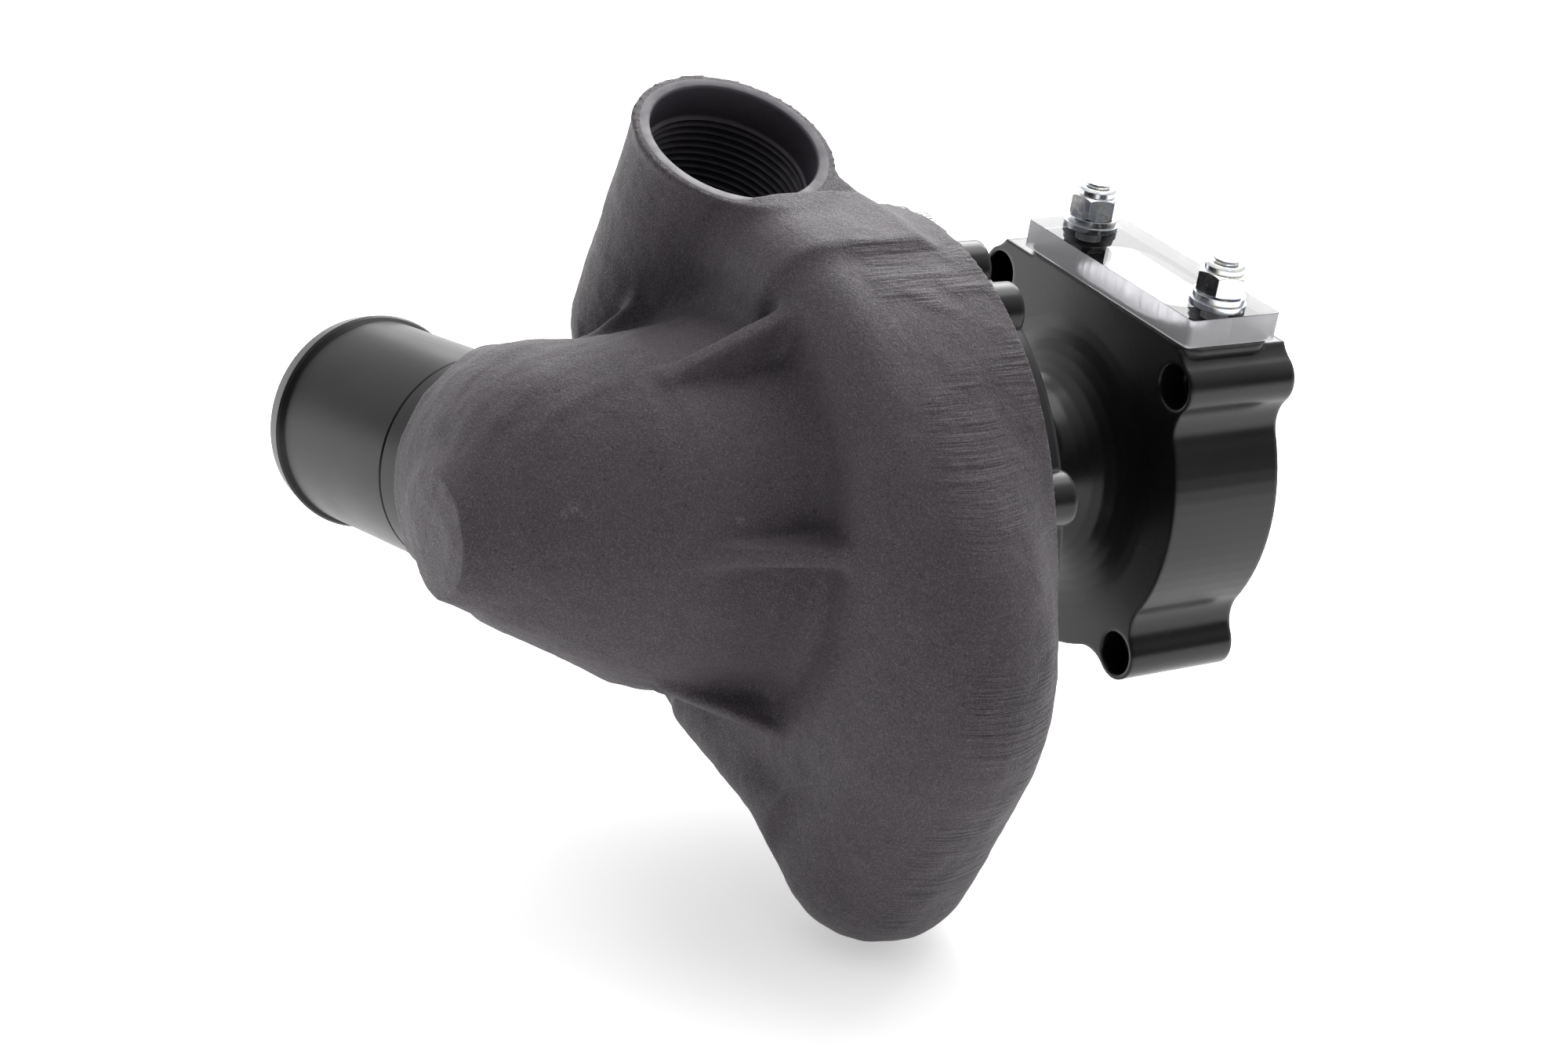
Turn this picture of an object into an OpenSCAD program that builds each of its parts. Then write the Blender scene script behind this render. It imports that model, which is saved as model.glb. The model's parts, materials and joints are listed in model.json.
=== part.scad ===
// Gear-driven centrifugal supercharger, head unit.
// The rotor axis is the Y axis. The origin is the centre of the rear mounting face.
// The drive end is at +Y, the inlet and the volute are at -Y, and +Z is up.

/* [Volute casting] */
// Radius of the drum around the impeller
drum_r = 67.5; // [66:0.5:70]
// Depth of the drum, from its rear flange to the front crest
drum_depth = 46; // [44:1:50]
// Radius of the flat end of the elbow
elbow_flat_r = 18; // [14:1:22]
// Largest radius of the elbow trunk
trunk_r = 42; // [40:1:44]
// Distance from the rear flange to the flat end of the elbow
trunk_length = 115; // [110:1:120]
// Wall thickness of the casting
wall = 4; // [3.5:0.5:4.5]
// Turn of the volute about the rotor axis
volute_clock = 19.4; // [0:0.1:45]
// Angle between the outlet and the inlet branch
inlet_clock = 121; // [110:1:130]
// Forward lean of the inlet branch
inlet_tilt = 7.5; // [0:0.5:12]
// Thickness of each gusset rib
rib_t = 5; // [3:0.5:7]

/* [Outlet port] */
// Distance of the outlet axis from the rotor axis
outlet_offset = 58.1; // [56:0.1:60]
// Height of the machined outlet face above the rotor axis
outlet_height = 61.1; // [58:0.1:66]
// Outer radius of the outlet boss
outlet_r = 24.95; // [24:0.05:26]
// Radius of the plain counterbore above the thread
outlet_counterbore_r = 20.6; // [20.2:0.1:21]
// Minor radius of the outlet thread
outlet_thread_r = 19.6; // [19:0.1:19.8]
// Length of the outlet thread
outlet_thread_length = 20; // [16:1:24]

/* [Inlet tube] */
// Outer radius of the inlet tube
tube_r = 26; // [25:0.1:26.4]
// Radius of the hose bead
bead_r = 27.3; // [26.8:0.1:28]
// Bore radius of the inlet tube
tube_bore_r = 23.5; // [22:0.5:24]
// Length of tube beyond the casting's lip, at the front
tube_exposed = 58.3; // [54:0.1:62]
// Length of tube held in the casting, at the front
tube_seated = 10; // [8:0.5:12]

/* [Back plate] */
// Outer radius of the back plate
plate_r = 66.5; // [65:0.5:67]
// Thickness of the back plate
plate_t = 7; // [6:0.5:8]
// Number of clamping screws
plate_screw_count = 8; // [6:1:10]
// Pitch circle radius of the clamping screws
plate_screw_pcr = 60; // [59:0.5:61]

/* [Drive housing] */
// Radius of the round body of the drive housing
body_r = 47.5; // [46:0.5:49]
// Depth of the drive housing
body_depth = 32; // [31:0.5:34]
// Spacing of the four mounting holes, across
hole_span_x = 74; // [72:0.5:76]
// Spacing of the four mounting holes, up
hole_span_z = 73; // [72:0.5:76]
// Radius of each corner lobe
lobe_r = 6.8; // [6.5:0.1:8]
// Radius of each mounting hole
mount_hole_r = 3.4; // [3.2:0.1:3.6]
// Radius of each mounting hole's counterbore
mount_counterbore_r = 5.6; // [5.5:0.1:6]
// Height of the flat top above the rotor axis
top_z = 45.6; // [45:0.1:47]
// Distance from the rear face of the housing to the rear of the volute flange
neck_reach = 82.8; // [80:0.1:86]

/* [Inspection window] */
// Width of the clear cover
cover_w = 68; // [66:1:70]
// Depth of the clear cover, front to rear
cover_d = 27.4; // [26:0.1:28]
// Thickness of the clear cover
cover_t = 7; // [5:0.5:8]
// Spacing of the two studs
stud_span = 52; // [50:1:53]
// Sideways offset of the window from the rotor axis
window_x = 5.4; // [4:0.1:6]

/* [Gear train] */
// Gear module
gear_module = 0.8; // [0.8:0.1:0.8]
// Teeth on the drive gear
gear_teeth = 36; // [36:1:36]
// Teeth on the pinion
pinion_teeth = 12; // [12:1:12]

/* [Hidden] */
$fn = 72;

cast_grey = "#4b494a";
anodised = "#1b1b1e";
zinc = "#b8bfc6";
steel = "#8d9094";
bright = "#c9ccd0";
aluminium = "#b4b7ba";
rubber = "#111111";
clear = [0.88, 0.93, 0.95, 0.45];

// Stations along the rotor axis
flange_y = -neck_reach;
plate_rear_y = flange_y + plate_t;
body_front_y = -body_depth;
crest_y = flange_y - drum_depth;
elbow_flat_y = flange_y - trunk_length;
outlet_y = flange_y - 36.3;
corner_y = flange_y - 88;
spigot_y = flange_y - 14;
shroud_y = spigot_y - 7;
eye_y = shroud_y - 29;
lift = 4.5;

// Rotor and gear stations
wheel_r = 46;
wheel_gap = 0.8;
wheel_back_y = spigot_y - 0.6;
wheel_nose_y = eye_y - 1;
eye_r = 28.5;
shaft_r = 5;
bearing_bore_r = 13;
rear_bearing_y = body_front_y - 11;
front_bearing_y = plate_rear_y + 7.2;
hub_screw_pcr = 17.2;
low_head = 3.8;
tall_screw = 2;
centre_distance = gear_module * (gear_teeth + pinion_teeth) / 2;
gear_x = window_x;
gear_z = sqrt(centre_distance * centre_distance - gear_x * gear_x);
gear_angle = atan2(gear_z, gear_x);
gear_front_y = -23;
gear_rear_y = -12.5;
input_bearing_y = -11.5;
input_end_y = 22;
stub_r = 5.5;
keyway_floor = 3.5;
cavity_front_y = -25;
cover_plate_t = 7;
cavity_r = 26;
cover_plate_r = 33;
cover_screw_pcr = 29.5;
fit_gap = 0.05;

// The window stack, from the flat top upwards
pad_t = 1;
gasket_t = 0.9;
pad_z = top_z + pad_t;
glass_z = pad_z + gasket_t;
stack_z = glass_z + cover_t;
window_y = -32.8 + cover_d / 2;
stud_r = 3.175;
washer_t = 1.6;
spring_t = 1.7;
nut_h = 7.6;
nut_af = 11.1;

// The blind lobe, the outlet and the collecting channel, in the volute's own turned frame
lobe_x = 70;
lobe_y = flange_y - 20.5;
lobe_z = 48;
blind_r = 24.95;
blind_bore_r = flange_y - lobe_y - wall;
lobe_start = 8;
outlet_start = -10;
bend_r = 42;
outlet_bore_r = outlet_r - wall - 2.5;
cast_step = 0.45;
face_edge_x = -36.6;
fairing_start = 102;
drum_seam = -40;
gusset_clock = 178.6;
gusset_pitch = 60.75;
tube_start = 26;
tube_seal = 4;
tube_line = 15;
bead_length = 7.2;
branch_end = 51.5;
lip_side = -66;
lip_slope = 30.5;
counterbore_depth = 9;
thread_top_z = outlet_height - counterbore_depth;
thread_bottom_z = thread_top_z - outlet_thread_length;
collector_r = 53.5;
collector_section_r = 7;
collector_y = flange_y - 26;
diffuser_r = 60.5;

// ---- helpers ----

// A flat outline drawn in X and Z, extruded along Y from y0 to y1
module along_y(y0, y1) {
    translate([0, y1, 0]) rotate([90, 0, 0]) linear_extrude(y1 - y0) children();
}

// A round bar parallel to the rotor axis
module rod(r, y0, y1, x = 0, z = 0) {
    translate([x, y1, z]) rotate([90, 0, 0]) cylinder(r = r, h = y1 - y0);
}

// A ring parallel to the rotor axis
module ring(ro, ri, y0, y1, x = 0, z = 0) {
    difference() {
        rod(ro, y0, y1, x, z);
        rod(ri, y0 - 1, y1 + 1, x, z);
    }
}

// A turned shape about the rotor axis, from [radius, y] points
module turned(points) {
    rotate([90, 0, 0]) rotate_extrude() polygon([for (p = points) [p[0], -p[1]]]);
}

// An O-ring about the rotor axis
module oring(r, section_r, y, x = 0, z = 0) {
    translate([x, y, z]) rotate([90, 0, 0]) rotate_extrude() translate([r, 0]) circle(section_r, $fn = 24);
}

// Points on an arc, from angle a0 to a1
function arc(cx, cy, r, a0, a1, n = 8) =
    [for (i = [0:n]) let (a = a0 + (a1 - a0) * i / n) [cx + r * cos(a), cy + r * sin(a)]];

// A socket-head cap screw on the Y axis: the head ends at y, and the thread runs towards -Y
module cap_screw(r, head, length, y) {
    difference() {
        union() {
            rod(r * 1.6, y - head, y);
            rod(r, y - head - length, y - head + 0.01);
        }
        translate([0, y + 1, 0]) rotate([90, 0, 0]) cylinder(r = r * 0.95, h = head / 2 + 1, $fn = 6);
    }
}

// ---- volute ----

// Places children in the volute's own frame, where the outlet points up
module clocked() { rotate([0, volute_clock, 0]) children(); }

// Places children with +Z out along the inlet branch and the elbow corner at the origin
module inlet_frame() {
    translate([0, corner_y, lift])
        rotate([0, volute_clock - inlet_clock, 0])
            rotate([inlet_tilt, 0, 0]) children();
}

// The triangles that join m rings of n points each, with both ends closed
function skin(m, n) = concat(
    [for (k = [1:n - 2]) [0, k + 1, k]],
    [for (i = [0:m - 2]) for (k = [0:n - 1]) let (a = i * n + k, b = i * n + (k + 1) % n)
        each [[a, b, b + n], [a, b + n, a + n]]],
    [for (k = [1:n - 2]) [(m - 1) * n, (m - 1) * n + k, (m - 1) * n + k + 1]]);

// The start of the blind lobe: a quarter bend that rises out of the drum
module lobe_bend() {
    translate([lobe_x - bend_r, lobe_y, -lobe_start]) rotate([90, 0, 0])
        rotate_extrude(angle = 90) translate([bend_r, 0]) circle(blind_r);
}

// The blind lobe's straight run, which closes in a dome
module blind_run(r) {
    translate([lobe_x, lobe_y, 0]) rotate_extrude()
        polygon(concat([[0, -lobe_start], [r, -lobe_start]], arc(0, -lobe_z, r, 0, -90, 6)));
}

// The drum and trunk outline, as [radius, y] points
function drum_outline() = concat(
    [[0, elbow_flat_y], [elbow_flat_r, elbow_flat_y]],
    [[elbow_flat_r + 3, elbow_flat_y + 4], [trunk_r - 2.6, elbow_flat_y + 34.5]],
    [[trunk_r, elbow_flat_y + 42], [trunk_r + 1.5, elbow_flat_y + 52], [trunk_r + 4, elbow_flat_y + 65]],
    [[trunk_r + 7.5, elbow_flat_y + 71], [trunk_r + 13, elbow_flat_y + 71.5]],
    arc(drum_r - 11, crest_y + 11, 11, -100, 0, 7),
    [[drum_r, flange_y], [0, flange_y]]);

module volute_outside() {
    rotate([0, drum_seam, 0]) turned(drum_outline());
    clocked() {
        difference() {
            union() {
                lobe_bend();
                blind_run(blind_r);
            }
            // the lobe is cut flat where it meets the back plate
            translate([-20, flange_y, -2 * drum_r]) cube([3 * drum_r, 2 * blind_r, 4 * drum_r]);
        }
        translate([-outlet_offset, outlet_y, 0]) rotate_extrude() polygon(concat(
            arc(0, outlet_start, outlet_r - cast_step, -90, 0, 6),
            [[outlet_r - cast_step, outlet_height + 1], [0, outlet_height + 1]]));
        outlet_fairing();
        for (k = [0:4]) rotate([0, gusset_clock - gusset_pitch * k, 0]) gusset();
    }
    inlet_frame() difference() {
        rotate_extrude() polygon([[0, -20], [33, -20], [33.4, 5], [30.8, 24], [28.8, 36],
            [28, branch_end], [0, branch_end]]);
        // the lip is cut back on its front side
        rotate([0, 0, lip_side]) translate([0, 0, branch_end]) rotate([0, lip_slope, 0])
            translate([-45, -45, 0]) cube([90, 90, 60]);
    }
}

// A wedge that leaves the top of the drum and falls to the edge of the machined outlet face
module outlet_fairing() {
    start = (drum_r - 1) * [cos(fairing_start), sin(fairing_start)];
    face_edge = [face_edge_x, outlet_height];
    tip = face_edge + (face_edge - start) * 0.3;
    along_y(crest_y + 6, outlet_y + 23) polygon([[0, 0], start, face_edge, tip]);
}

// A gusset between the trunk and the drum, drawn on the +Z side
module gusset() {
    translate([-rib_t / 2, 0, 0]) rotate([90, 0, 90]) linear_extrude(rib_t)
        polygon([[flange_y - 42, 30], [flange_y - 42, 57], [flange_y - 46, 56],
                 [flange_y - 71, trunk_r - 0.5], [flange_y - 74, 30]]);
}

module volute_inside() {
    // the impeller chamber, the diffuser gap and the eye
    turned(concat(
        [[0, flange_y + 1], [54.1, flange_y + 1], [54.1, spigot_y]],
        [[diffuser_r, spigot_y], [diffuser_r, shroud_y]],
        [for (i = [6:-1:0]) let (p = shroud_point(i / 6)) [p[0] + wheel_gap, p[1] - wheel_gap]],
        [[24, corner_y + 14], [24, corner_y], [0, corner_y]]));
    // the collecting channel, and the two passages that leave it
    oring(collector_r, collector_section_r, collector_y);
    clocked() {
        blind_run(blind_bore_r);
        translate([-outlet_offset, outlet_y, 0]) rotate_extrude() polygon(concat(
            arc(0, outlet_start, outlet_bore_r, -90, 0, 6), [[outlet_bore_r, thread_bottom_z],
            [outlet_thread_r, thread_bottom_z], [outlet_thread_r, thread_top_z],
            [outlet_counterbore_r, thread_top_z], [outlet_counterbore_r, outlet_height + 1],
            [0, outlet_height + 1]]));
    }
    translate([0, corner_y, lift]) sphere(24);
    inlet_frame() {
        cylinder(r = 23.5, h = 60);
        translate([0, 0, tube_start - 0.5]) cylinder(r = tube_r + fit_gap, h = 45);
    }
}

module volute_housing() {
    color(cast_grey) difference() {
        volute_outside();
        volute_inside();
        // everything above the machined outlet face, as far as the outlet's inner side
        clocked() translate([-outlet_offset - 1.5 * outlet_r, outlet_y - 2 * outlet_r, outlet_height])
            cube([2.5 * outlet_r + 0.4, 4 * outlet_r, drum_r]);
        for (k = [0:plate_screw_count - 1]) plate_screw_place(k) rod(3.1, flange_y - 12, flange_y + 1);
        plate_dowel_places() rod(2.5, flange_y - 7, flange_y + 1);
    }
}

module inlet_tube() {
    total = tube_exposed + tube_seated;
    bead = total - bead_length;
    color(anodised) inlet_frame() translate([0, 0, tube_start]) rotate_extrude() polygon(concat(
        [[tube_bore_r, 0], [tube_r - 0.4, 0], [tube_r, 0.4], [tube_r, tube_seal - 1.5]],
        [[tube_r - 1.9, tube_seal - 1.5], [tube_r - 1.9, tube_seal + 1.5], [tube_r, tube_seal + 1.5]],
        // the turned line that marks how far the hose may go
        [[tube_r, tube_line - 0.5], [tube_r - 0.35, tube_line], [tube_r, tube_line + 0.5]],
        // the bead: a steep rear flank and a land that falls gently to the end
        [[tube_r, bead], [bead_r - 0.4, bead + 0.8], [bead_r, bead + 1.6], [bead_r - 0.2, bead + 2.6]],
        [[tube_r + 0.3, total - 0.9], [tube_r - 0.4, total], [tube_bore_r + 0.4, total]],
        [[tube_bore_r, total - 0.4]]));
}

module inlet_tube_oring() {
    color(rubber) inlet_frame() translate([0, 0, tube_start + tube_seal])
        rotate_extrude() translate([tube_r - 0.95, 0]) circle(0.95, $fn = 24);
}

// ---- back plate ----

module plate_screw_place(k) {
    rotate([0, -(21 + 45 * k), 0]) translate([plate_screw_pcr, 0, 0]) children();
}

// The clamping screws whose low heads are sunk in the plate: all but the tall one beside the outlet
sunk_screws = [for (k = [0:plate_screw_count - 1]) if (k != tall_screw) k];

module plate_dowel_places() {
    for (a = [0, 180]) rotate([0, -(a - 2), 0]) translate([59, 0, 0]) children();
}

module plate_outline() {
    circle(plate_r - 5.5);
    for (k = [0:plate_screw_count - 1]) rotate(21 + 45 * k) translate([plate_screw_pcr, 0])
        circle(6.5, $fn = 40);
    rotate(81) translate([plate_screw_pcr, 0]) circle(6.5, $fn = 40);
}

module back_plate() {
    color(anodised) difference() {
        union() {
            along_y(flange_y, plate_rear_y) plate_outline();
            rod(54, spigot_y, flange_y);
            rod(26, plate_rear_y, plate_rear_y + 3);
        }
        rod(12.5, spigot_y + 8, plate_rear_y + 10);
        rod(6.8, spigot_y - 1, spigot_y + 9);
        for (k = [0:plate_screw_count - 1]) plate_screw_place(k) rod(3.4, flange_y - 1, plate_rear_y + 1);
        for (k = sunk_screws) plate_screw_place(k) rod(5.2, plate_rear_y - low_head - 0.2, plate_rear_y + 1);
        plate_dowel_places() rod(2.5, flange_y - 1, flange_y + 5);
        // the seal groove round the spigot
        turned([[52.2, flange_y - 9.2], [55, flange_y - 9.2], [55, flange_y - 6.2], [52.2, flange_y - 6.2]]);
        hub_screw_places() {
            rod(2.7, spigot_y - 1, plate_rear_y + 4);
            rod(4.2, spigot_y - 1, spigot_y + 5.2);
        }
    }
}

module back_plate_oring() { color(rubber) oring(53.15, 0.94, flange_y - 7.7); }

module back_plate_screws() {
    color(zinc) {
        for (k = sunk_screws) plate_screw_place(k) cap_screw(3.1, low_head, 13, plate_rear_y - 0.2);
        plate_screw_place(tall_screw) cap_screw(3.1, 6.2, 17, plate_rear_y + 6.2);
    }
}

module back_plate_dowels() { color(bright) plate_dowel_places() rod(2.5, flange_y - 6.5, flange_y + 4.5); }

module hub_screw_places() {
    for (k = [0:3]) rotate([0, 45 + 90 * k, 0]) translate([hub_screw_pcr, 0, 0]) children();
}

module hub_screws() {
    color(steel) hub_screw_places() mirror([0, 1, 0]) cap_screw(2.5, 5, 30, -(spigot_y + 0.2));
}

// ---- drive housing ----

module corner_places() {
    for (sx = [-1, 1]) for (sz = [-1, 1])
        translate([sx * hole_span_x / 2, 0, sz * hole_span_z / 2]) children();
}

module housing_outline() {
    difference() {
        offset(r = -9) offset(r = 9) {
            circle(body_r, $fn = 96);
            for (sx = [-1, 1]) for (sz = [-1, 1])
                translate([sx * hole_span_x / 2, sz * hole_span_z / 2]) circle(lobe_r, $fn = 40);
            translate([-hole_span_x / 2, 20]) square([hole_span_x, top_z - 20]);
        }
        translate([-60, top_z]) square([120, 20]);
    }
}

// Round-ended slot outline in X and Y
module stadium(length, width) {
    for (s = [-1, 1]) translate([s * (length - width) / 2, 0]) circle(width / 2);
    square([length - width, width], center = true);
}

// Rounded rectangle in X and Y
module pad_outline(w, d, r) {
    for (sx = [-1, 1]) for (sy = [-1, 1])
        translate([sx * (w / 2 - r), sy * (d / 2 - r)]) circle(r, $fn = 32);
    square([w - 2 * r, d], center = true);
    square([w, d - 2 * r], center = true);
}

module stud_places() {
    for (s = [-1, 1]) translate([window_x + s * stud_span / 2, window_y, 0]) children();
}

// The neck that carries the rotor bearings, flared where it meets the housing
function neck_outline() = concat(
    [[0, plate_rear_y + 3], [27, plate_rear_y + 3], [27, plate_rear_y + 8]],
    arc(21 + 4, plate_rear_y + 12, 4, -90, -180, 5),
    [[21, body_front_y - 16]],
    arc(21 + 16, body_front_y - 16, 16, 180, 90, 8),
    [[0, body_front_y]]);

module drive_housing() {
    color(anodised) difference() {
        union() {
            along_y(body_front_y, 0) housing_outline();
            turned(neck_outline());
            translate([window_x, window_y + 0.4, top_z - 1]) linear_extrude(pad_t + 1)
                pad_outline(cover_w - 0.6, cover_d - 0.8, 5);
        }
        // bearing bores and shaft passage
        rod(bearing_bore_r, plate_rear_y - 1, rear_bearing_y + 8);
        rod(7, rear_bearing_y + 7, cavity_front_y + 1);
        // circlip groove in front of the front bearing
        rod(bearing_bore_r + 0.8, front_bearing_y - 1.2, front_bearing_y - 0.1);
        // gear cavity, cover recess and input bearing pocket
        rod(cavity_r, cavity_front_y, 1, gear_x / 2, gear_z / 2);
        rod(cover_plate_r + fit_gap, -cover_plate_t, 1, gear_x / 2, gear_z / 2);
        rod(10.5, cavity_front_y - 5, cavity_front_y + 1, gear_x, gear_z);
        cover_screw_places() rod(1.7, -cover_plate_t - 8, 0);
        // inspection opening and stud holes
        translate([window_x - 0.4, window_y + 0.4, 26]) linear_extrude(30) stadium(38.9, 20.8);
        stud_places() translate([0, 0, 40.2]) cylinder(r = stud_r, h = 10);
        // four mounting holes, counterbored from the front
        corner_places() {
            rod(mount_hole_r, -body_depth - 1, 1);
            rod(mount_counterbore_r, -body_depth - 1, -body_depth + 8);
        }
        hub_screw_places() rod(2.5, plate_rear_y - 1, plate_rear_y + 15);
    }
}

module cover_screw_places() {
    for (k = [0:5]) translate([gear_x / 2, 0, gear_z / 2]) rotate([0, 30 + 60 * k, 0])
        translate([cover_screw_pcr, 0, 0]) children();
}

module rear_cover() {
    color(anodised) difference() {
        rod(cover_plate_r, -cover_plate_t, 0, gear_x / 2, gear_z / 2);
        rod(14, -cover_plate_t - 1, input_bearing_y + 8, gear_x, gear_z);
        rod(10, input_bearing_y + 7, 1, gear_x, gear_z);
        cover_screw_places() {
            rod(2.2, -cover_plate_t - 1, 1);
            rod(3.8, -4, 1);
        }
        translate([gear_x / 2, -cover_plate_t, gear_z / 2]) rotate([90, 0, 0]) rotate_extrude()
            translate([cavity_r + 0.1, -1.3]) square([1.5, 2]);
    }
}

module rear_cover_oring() {
    color(rubber) oring(cavity_r + 0.9, 0.65, -cover_plate_t + 0.65, gear_x / 2, gear_z / 2);
}

module rear_cover_screws() {
    color(zinc) cover_screw_places() difference() {
        union() {
            rod(3.5, -4, -0.4);
            rod(1.65, -cover_plate_t - 7, -3.9);
        }
        translate([0, 1, 0]) rotate([90, 0, 0]) cylinder(r = 1.7, h = 3.2, $fn = 6);
    }
}

// ---- bearings and seals ----
// A bearing is [inner radius, outer radius, front y, width, ball radius, ball count, x, z]

front_bearing = [shaft_r, 13, front_bearing_y, 8, 2.3, 9, 0, 0];
rear_bearing = [shaft_r, 13, rear_bearing_y, 8, 2.3, 9, 0, 0];
input_front_bearing = [6, 10.5, cavity_front_y - 5, 5, 1.3, 12, gear_x, gear_z];
input_rear_bearing = [6, 14, input_bearing_y, 8, 2.4, 9, gear_x, gear_z];

module race_groove(b) {
    translate([b[6], b[2] + b[3] / 2, b[7]]) rotate([90, 0, 0]) rotate_extrude()
        translate([(b[0] + b[1]) / 2, 0]) circle(b[4] + fit_gap, $fn = 32);
}

module outer_race(b) {
    color(bright) difference() {
        ring(b[1], (b[0] + b[1]) / 2 + b[4] * 0.55, b[2], b[2] + b[3], b[6], b[7]);
        race_groove(b);
    }
}

module inner_race(b) {
    color(bright) difference() {
        ring((b[0] + b[1]) / 2 - b[4] * 0.55, b[0], b[2], b[2] + b[3], b[6], b[7]);
        race_groove(b);
    }
}

// The balls, joined by their cage ring
module balls(b) {
    pitch = (b[0] + b[1]) / 2;
    color(steel) translate([b[6], b[2] + b[3] / 2, b[7]]) rotate([90, 0, 0]) {
        for (k = [0:b[5] - 1]) rotate(360 * k / b[5]) translate([pitch, 0, 0]) sphere(b[4], $fn = 32);
        difference() {
            cylinder(r = pitch + b[4] * 0.35, h = b[4], center = true);
            cylinder(r = pitch - b[4] * 0.35, h = b[4] + 1, center = true);
        }
    }
}

module front_bearing_outer() { outer_race(front_bearing); }
module front_bearing_inner() { inner_race(front_bearing); }
module front_bearing_balls() { balls(front_bearing); }
module rear_bearing_outer() { outer_race(rear_bearing); }
module rear_bearing_inner() { inner_race(rear_bearing); }
module rear_bearing_balls() { balls(rear_bearing); }
module input_front_bearing_outer() { outer_race(input_front_bearing); }
module input_front_bearing_inner() { inner_race(input_front_bearing); }
module input_front_bearing_balls() { balls(input_front_bearing); }
module input_rear_bearing_outer() { outer_race(input_rear_bearing); }
module input_rear_bearing_inner() { inner_race(input_rear_bearing); }
module input_rear_bearing_balls() { balls(input_rear_bearing); }

module shaft_seal() { color(rubber) ring(12.5, 6.45, spigot_y + 8, spigot_y + 15); }

module input_seal() {
    color(rubber) ring(10, 6 + fit_gap, input_bearing_y + 8.2, -0.3, gear_x, gear_z);
}

// A circlip with its gap at the top
module circlip(ro, ri, y0, t, x = 0, z = 0) {
    color(steel) difference() {
        ring(ro, ri, y0, y0 + t, x, z);
        translate([x - 2.5, y0 - 1, z]) cube([5, t + 2, ro + 1]);
    }
}

module bearing_circlip() { circlip(bearing_bore_r + 0.75, 11, front_bearing_y - 1.15, 1); }

// ---- rotor ----

module seal_sleeve() { color(bright) ring(6.4, shaft_r, wheel_back_y, front_bearing_y); }

module bearing_spacer() { color(steel) ring(7.5, shaft_r, front_bearing_y + 8, rear_bearing_y); }

// Involute gear outline with a tooth centred on the +X axis
function involute(rb, a) = [rb * (cos(a) + a * PI / 180 * sin(a)), rb * (sin(a) - a * PI / 180 * cos(a))];
function turn2(p, a) = [p[0] * cos(a) - p[1] * sin(a), p[0] * sin(a) + p[1] * cos(a)];

module gear_outline(m, teeth, backlash = 0.16) {
    rp = m * teeth / 2;
    rb = rp * cos(20);
    ra = rp + 0.95 * m;
    rr = rp - 1.2 * m;
    half = 90 / teeth - backlash / 2 / rp * 180 / PI;
    inv20 = tan(20) * 180 / PI - 20;
    function flank(r) = let (c = min(1, rb / r), a = acos(c)) half + inv20 - (tan(a) * 180 / PI - a);
    function at(r, sgn, base) = [r * cos(base + sgn * flank(r)), r * sin(base + sgn * flank(r))];
    radii = [rr, max(rb, rr + 0.1), (max(rb, rr + 0.1) + rp) / 2, rp, (rp + ra) / 2, ra];
    polygon([for (k = [0:teeth - 1]) let (base = 360 * k / teeth)
        each concat([for (r = radii) at(r, -1, base)], [for (i = [5:-1:0]) at(radii[i], 1, base)])]);
}

// The rotor shaft, with the pinion cut on its rear end
module pinion_shaft() {
    color(steel) {
        rod(shaft_r, wheel_nose_y, -29);
        rod(4, wheel_nose_y - 9, wheel_nose_y + 0.01);
        along_y(gear_front_y - 1.5, gear_rear_y + 1) rotate(gear_angle + 180 / pinion_teeth)
            gear_outline(gear_module, pinion_teeth);
        rod(gear_module * pinion_teeth / 2 - 1.2 * gear_module, -30, -11);
    }
}

// Meridional outline of the wheel: s runs from the nose to the rim
function hub_point(s) = [9 + (wheel_r - 9) * (1 - cos(90 * s)),
                         wheel_nose_y + (wheel_back_y - 2.4 - wheel_nose_y) * sin(90 * s)];
function shroud_point(s) = [eye_r + (wheel_r - eye_r) * (1 - cos(90 * s)),
                            eye_y + (shroud_y + wheel_gap - eye_y) * sin(90 * s)];
function wrap(s) = 52 * pow(1 - s, 1.7) - 24 * s * s;
blade_t = 1.4;

function on_wheel(p, a, side) = let (b = a + side * blade_t / 2 / p[0] * 180 / PI)
    [p[0] * cos(b), p[1], p[0] * sin(b)];

// One blade, from station s0 to the rim
module blade(s0, n = 8) {
    s = [for (i = [0:n]) s0 + (1 - s0) * i / n];
    points = [for (t = s) let (h = hub_point(t) - [0.5 * (1 - t), -0.8 * t], t2 = shroud_point(t))
        each [on_wheel(h, wrap(t), -1), on_wheel(t2, wrap(t), -1),
              on_wheel(t2, wrap(t), 1), on_wheel(h, wrap(t), 1)]];
    polyhedron(points, skin(n + 1, 4));
}

module impeller() {
    color(aluminium) difference() {
        union() {
            turned(concat([[0, wheel_nose_y]], [for (i = [0:10]) hub_point(i / 10)],
                          [[wheel_r, wheel_back_y - 0.4], [12, wheel_back_y - 0.4], [12, wheel_back_y],
                           [0, wheel_back_y]]));
            for (k = [0:6]) rotate([0, 360 * k / 7, 0]) blade(0.02);
            for (k = [0:6]) rotate([0, 360 * (k + 0.5) / 7, 0]) blade(0.4);
        }
        rod(shaft_r, wheel_nose_y - 1, wheel_back_y + 1);
    }
}

module impeller_nut() {
    color(bright) difference() {
        union() {
            rod(8.4, wheel_nose_y - 1.4, wheel_nose_y);
            translate([0, wheel_nose_y - 1.3, 0]) rotate([90, 0, 0]) cylinder(r = 7.5, h = 6, $fn = 6);
        }
        rod(4, wheel_nose_y - 9, wheel_nose_y + 1);
    }
}

// ---- input shaft ----

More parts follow.
